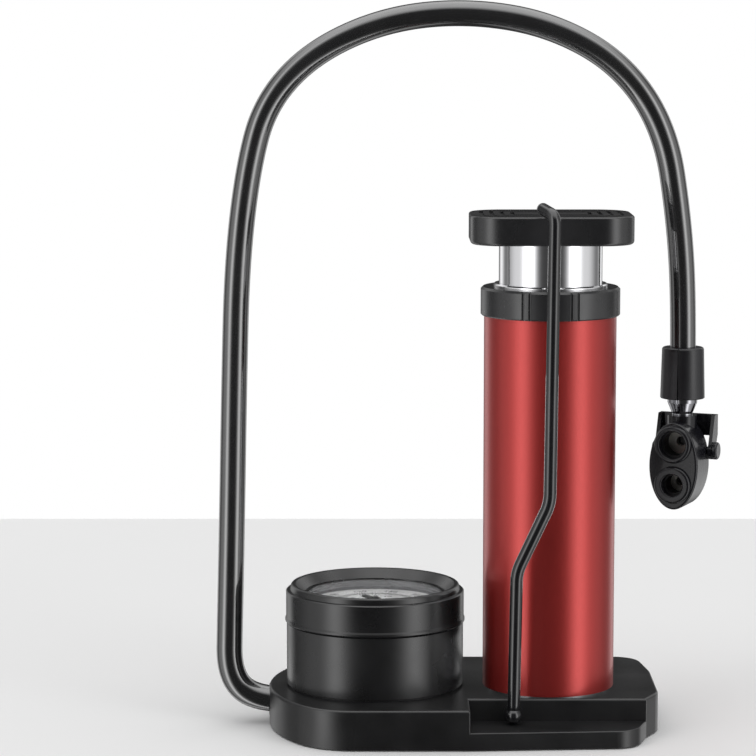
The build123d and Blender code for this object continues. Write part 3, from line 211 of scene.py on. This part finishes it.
DIAL_WHITE = moulded("dial_white", (0.74, 0.74, 0.74), 0.5, grain_mm=0.2, depth_mm=0.003)
INK = moulded("dial_ink", (0.006, 0.006, 0.006), 0.5, depth_mm=0.002, specular=0.3)
NEEDLE_BLACK = moulded("needle_black", (0.006, 0.006, 0.006), 0.35, depth_mm=0.002, specular=0.4)

GLASS = material("lens_glass", (0.97, 0.98, 0.98), 0.02)
shader_of(GLASS).inputs["Transmission Weight"].default_value = 1.0
shader_of(GLASS).inputs["IOR"].default_value = 1.25
bump(GLASS, noise(GLASS, scale=40.0), strength=0.05, depth_mm=0.0005)

FINISHES = {
    BASE_BLACK: "base_housing bottom_cover",
    CASE_BLACK: "gauge_body gauge_bezel",
    TREAD_BLACK: "collar pedal",
    RED: "barrel",
    CHROME: "plunger_tube guide_ring",
    TURNED_DARK: "lens_ring",
    DARK_CHROME: "hose_nipple",
    WIRE_BLACK: "latch_wire",
    HOSE_BLACK: "hose hose_gland",
    SLEEVE_BLACK: "hose_sleeve",
    HEAD_BLACK: "head_body large_port_cap small_port_cap clamp_lever lever_pin",
    RUBBER: "rubber_feet cup_seal wiper_seal gauge_gasket large_grommet small_grommet latch_bush",
    GLASS: "gauge_lens",
    DIAL_WHITE: "dial_plate",
    NEEDLE_BLACK: "needle",
    BRASS: (
        "gauge_stem bourdon_tube bourdon_link movement_plates sector_gear needle_shaft outlet_valve "
        "feed_pipe hose_barb valve_retainer"
    ),
    STEEL: "cover_screws pedal_screw return_spring valve_spring latch_clip",
    ALUMINIUM: "barrel_foot standpipe piston_head",
    NYLON: "guide_bush tube_guide top_plug air_manifold clamp_pistons",
}
for finish, names in FINISHES.items():
    for name in names.split():
        mesh = NODES[name].data
        mesh.materials.clear()
        mesh.materials.append(finish)

# The lens lets the light through to the dial, and the barrel gives its neighbours no red reflection
NODES["gauge_lens"].visible_shadow = False
NODES["barrel"].visible_glossy = False


# ---- Dial print: rings, ticks, numbers and units as thin ink on the dial plate ----
# Lengths are in millimetres, and turns in degrees counter-clockwise from +X
INK_LIFT = 0.02
INK_DEPTH = 0.02
RING_WIDTH = 0.22
TICK_WIDTH = 0.16
MAJOR_WIDTH = 0.24
ARC_STEP = 2.0
ZERO_TURN = -53.0
END_TURN = -343.3
UNIT_HEIGHT = 1.6
# A font size is the height of its line, which is this many times the height of its characters
SIZE_PER_HEIGHT = 1.38
# Each scale: its ring, the far ends of its ticks, its numbers' place and height, the degrees from one
# number to the next, the ticks to a number, the count of numbers, the value of one number's step, the
# far end of the line that ends its ring, and its unit with the unit's place
SCALES = [
    {
        "ring": 14.3, "tick": 15.3, "major": 16.0, "number_at": 17.9, "number_height": 2.3,
        "turn_step": -33.4, "ticks": 10, "numbers": 9, "value_step": 20, "end_at": 19.4,
        "unit": "PSI", "unit_at": Vector((15.8, -2.0)),
    },
    {
        "ring": 13.6, "tick": 12.5, "major": 11.8, "number_at": 9.6, "number_height": 2.1,
        "turn_step": -24.22, "ticks": 5, "numbers": 12, "value_step": 1, "end_at": 9.2,
        "unit": "BAR", "unit_at": Vector((11.4, -1.1)),
    },
]


def spot(radius, turn_deg):
    """A point on the dial, radius from its centre."""
    turn_rad = math.radians(turn_deg)
    return Vector((radius * math.cos(turn_rad), radius * math.sin(turn_rad)))


ink = bmesh.new()


def ink_face(points):
    """One flat patch of ink between points from the dial's centre."""
    corners = [ink.verts.new((point.x, point.y, 0.0)) for point in points]
    ink.faces.new(corners)


def ink_arc(radius, width, start, end):
    """A ring line from start to end degrees."""
    steps = int(abs(end - start) / ARC_STEP)
    inner, outer = radius - width / 2, radius + width / 2
    for step in range(steps):
        first = start + (end - start) * step / steps
        last = start + (end - start) * (step + 1) / steps
        ink_face([spot(inner, first), spot(outer, first), spot(outer, last), spot(inner, last)])


def ink_line(start, end, width):
    """A straight line of ink between two points."""
    side = (end - start).orthogonal().normalized() * (width / 2)
    ink_face([start - side, end - side, end + side, start + side])


def ink_text(body, height, centre, lean_deg):
    """Characters of the given height about a centre, turned lean_deg counter-clockwise."""
    words = bpy.data.curves.new("ink_words", "FONT")
    words.body = body
    words.size = height * SIZE_PER_HEIGHT
    words.align_x = "CENTER"
    words.align_y = "CENTER"
    carrier = bpy.data.objects.new("ink_words", words)
    flat = bpy.data.meshes.new_from_object(carrier)
    lean = math.radians(lean_deg)
    places = []
    for vert in flat.vertices:
        x = vert.co.x * math.cos(lean) - vert.co.y * math.sin(lean)
        y = vert.co.x * math.sin(lean) + vert.co.y * math.cos(lean)
        places.append(ink.verts.new((centre.x + x, centre.y + y, 0.0)))
    for face in flat.polygons:
        ink.faces.new([places[index] for index in face.vertices])
    bpy.data.objects.remove(carrier)
    bpy.data.meshes.remove(flat)
    bpy.data.curves.remove(words)


for scale in SCALES:
    ink_arc(scale["ring"], RING_WIDTH, ZERO_TURN, END_TURN)
    for count in range((scale["numbers"] - 1) * scale["ticks"] + 1):
        angle = ZERO_TURN + scale["turn_step"] * count / scale["ticks"]
        number, rest = divmod(count, scale["ticks"])
        if rest == 0:
            ink_line(spot(scale["ring"], angle), spot(scale["major"], angle), MAJOR_WIDTH)
            label = str(number * scale["value_step"])
            ink_text(label, scale["number_height"], spot(scale["number_at"], angle), angle - 90.0)
        else:
            ink_line(spot(scale["ring"], angle), spot(scale["tick"], angle), TICK_WIDTH)
    ink_line(spot(scale["ring"], END_TURN), spot(scale["end_at"], END_TURN), RING_WIDTH)
    ink_text(scale["unit"], UNIT_HEIGHT, scale["unit_at"], 90.0)

bmesh.ops.scale(ink, vec=(MM, MM, MM), verts=ink.verts)
raised = bmesh.ops.extrude_face_region(ink, geom=ink.faces[:])
raised_verts = [item for item in raised["geom"] if isinstance(item, bmesh.types.BMVert)]
bmesh.ops.translate(ink, vec=(0.0, 0.0, INK_DEPTH * MM), verts=raised_verts)
bmesh.ops.recalc_face_normals(ink, faces=ink.faces)
print_mesh = bpy.data.meshes.new("dial_print")
ink.to_mesh(print_mesh)
ink.free()
print_mesh.materials.append(INK)
dial_print = bpy.data.objects.new("dial_print", print_mesh)
dial_low, dial_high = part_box("dial_plate")
dial_print.location = (
    (dial_low.x + dial_high.x) / 2, (dial_low.y + dial_high.y) / 2, dial_high.z + INK_LIFT * MM
)
bpy.context.scene.collection.objects.link(dial_print)
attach(dial_print, "base")


# ---- Hose ----
HOSE_DIAMETER = 8.5 * MM
# The route leaves the left end, turns straight up, leans back and arches over the pump
HOSE_ROUTE_MM = [
    (-57.2, 0.0, 7.6),
    (-68.2, 0.0, 7.6),
    (-76.2, 1.0, 15.6),
    (-75.9, 4.0, 34.0),
    (-75.3, 9.5, 66.0),
    (-74.7, 16.0, 108.0),
    (-73.8, 21.5, 148.0),
    (-70.3, 26.5, 179.0),
    (-64.6, 29.5, 200.5),
    (-49.5, 31.0, 217.0),
    (-25.5, 31.0, 228.0),
    (1.5, 31.0, 230.9),
    (29.0, 31.0, 226.5),
    (52.5, 30.0, 213.5),
    (67.0, 28.0, 192.0),
    (71.6, 26.0, 162.0),
    (73.3, 25.0, 136.0),
    (73.3, 25.0, 114.0),
]

hose_curve = bpy.data.curves.new("air_hose", "CURVE")
hose_curve.dimensions = "3D"
hose_line = hose_curve.splines.new("NURBS")
hose_line.points.add(len(HOSE_ROUTE_MM) - 1)
for point, place in zip(hose_line.points, HOSE_ROUTE_MM):
    point.co = (*(Vector(place) * MM), 1.0)
hose_line.order_u = 3
hose_line.use_endpoint_u = True
hose_curve.resolution_u = 24
hose_curve.bevel_depth = HOSE_DIAMETER / 2
hose_curve.bevel_resolution = 12
hose_curve.use_fill_caps = True
hose_curve.materials.append(HOSE_BLACK)
hose = bpy.data.objects.new("air_hose", hose_curve)
bpy.context.scene.collection.objects.link(hose)
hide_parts("hose")
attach(hose, "base")


# ---- Floor ----
FLOOR_HALF_WIDTH = 0.39
FLOOR_DARK = (0.765, 0.765, 0.765)
FLOOR_LIGHT = (0.785, 0.785, 0.785)

FLOOR_GREY = material("floor_grey", FLOOR_DARK, 0.6)
tint(FLOOR_GREY, spread(FLOOR_GREY, noise(FLOOR_GREY, scale=3.0), 0.0, 1.0), FLOOR_DARK, FLOOR_LIGHT)

floor_mesh = bpy.data.meshes.new("studio_floor")
floor_corners = [
    (-FLOOR_HALF_WIDTH, -FLOOR_HALF_WIDTH, 0.0), (FLOOR_HALF_WIDTH, -FLOOR_HALF_WIDTH, 0.0),
    (FLOOR_HALF_WIDTH, FLOOR_HALF_WIDTH, 0.0), (-FLOOR_HALF_WIDTH, FLOOR_HALF_WIDTH, 0.0),
]
floor_mesh.from_pydata(floor_corners, [], [(0, 1, 2, 3)])
floor_mesh.materials.append(FLOOR_GREY)
floor = bpy.data.objects.new("studio_floor", floor_mesh)
floor.visible_glossy = False
bpy.context.scene.collection.objects.link(floor)


# ---- World: a white backdrop for the camera, and upright bands and a ceiling of light for the pump ----
# Each band of light: degrees either side of the front, width in degrees, and strength
LIGHT_BANDS = [(52.0, 14.0, 2.35), (85.0, 26.0, 0.62), (146.0, 14.0, 0.9)]
# The bands fade out and the ceiling comes in between these heights of the sky's unit sphere
BANDS_FULL_BELOW = 0.45
BANDS_GONE_ABOVE = 0.98
CEILING_STARTS = 0.55
CEILING_FULL = 0.95
CEILING_LIGHT = 1.75
FILL_LIGHT = 0.05
WHITE = (1.0, 1.0, 1.0, 1.0)

world = bpy.data.worlds.new("studio")
world.use_nodes = True
bpy.context.scene.world = world
bpy.context.scene.view_settings.view_transform = "Standard"
world_nodes = world.node_tree.nodes
world_links = world.node_tree.links
world_nodes.clear()


def reckon(operation, first, second=0.0):
    """The result of a math node of the world; its inputs are numbers or other nodes' outputs."""
    node = world_nodes.new("ShaderNodeMath")
    node.operation = operation
    for socket, value in zip(node.inputs, (first, second)):
        if isinstance(value, float):
            socket.default_value = value
        else:
            world_links.new(value, socket)
    return node.outputs["Value"]


def band(turn, centre, width, strength):
    """A soft upright band of light, centre degrees either side of the front."""
    offset = reckon("DIVIDE", reckon("SUBTRACT", turn, math.radians(centre)), math.radians(width))
    falloff = reckon("MULTIPLY", reckon("MULTIPLY", offset, offset), -1.0)
    return reckon("MULTIPLY", reckon("EXPONENT", falloff), strength)


def ramp(value, start, end, low, high):
    """A smooth step from low at start to high at end."""
    node = world_nodes.new("ShaderNodeMapRange")
    node.interpolation_type = "SMOOTHSTEP"
    for name, number in (("From Min", start), ("From Max", end), ("To Min", low), ("To Max", high)):
        node.inputs[name].default_value = number
    world_links.new(value, node.inputs["Value"])
    return node.outputs["Result"]


direction = world_nodes.new("ShaderNodeTexCoord").outputs["Generated"]
split = world_nodes.new("ShaderNodeSeparateXYZ")
world_links.new(direction, split.inputs["Vector"])
height = split.outputs["Z"]
forward = reckon("MULTIPLY", split.outputs["Y"], -1.0)
turn = reckon("ABSOLUTE", reckon("ARCTAN2", split.outputs["X"], forward))
bands = 0.0
for centre, width, strength in LIGHT_BANDS:
    bands = reckon("ADD", bands, band(turn, centre, width, strength))
walls = reckon("MULTIPLY", bands, ramp(height, BANDS_GONE_ABOVE, BANDS_FULL_BELOW, 0.0, 1.0))
ceiling = ramp(height, CEILING_STARTS, CEILING_FULL, 0.0, CEILING_LIGHT)
glow = reckon("ADD", reckon("ADD", walls, ceiling), FILL_LIGHT)

lit = world_nodes.new("ShaderNodeBackground")
lit.inputs["Color"].default_value = WHITE
world_links.new(glow, lit.inputs["Strength"])
backdrop = world_nodes.new("ShaderNodeBackground")
backdrop.inputs["Color"].default_value = WHITE
backdrop.inputs["Strength"].default_value = 1.0
choice = world_nodes.new("ShaderNodeMixShader")
world_links.new(world_nodes.new("ShaderNodeLightPath").outputs["Is Camera Ray"], choice.inputs[0])
world_links.new(lit.outputs["Background"], choice.inputs[1])
world_links.new(backdrop.outputs["Background"], choice.inputs[2])
world_links.new(choice.outputs["Shader"], world_nodes.new("ShaderNodeOutputWorld").inputs["Surface"])
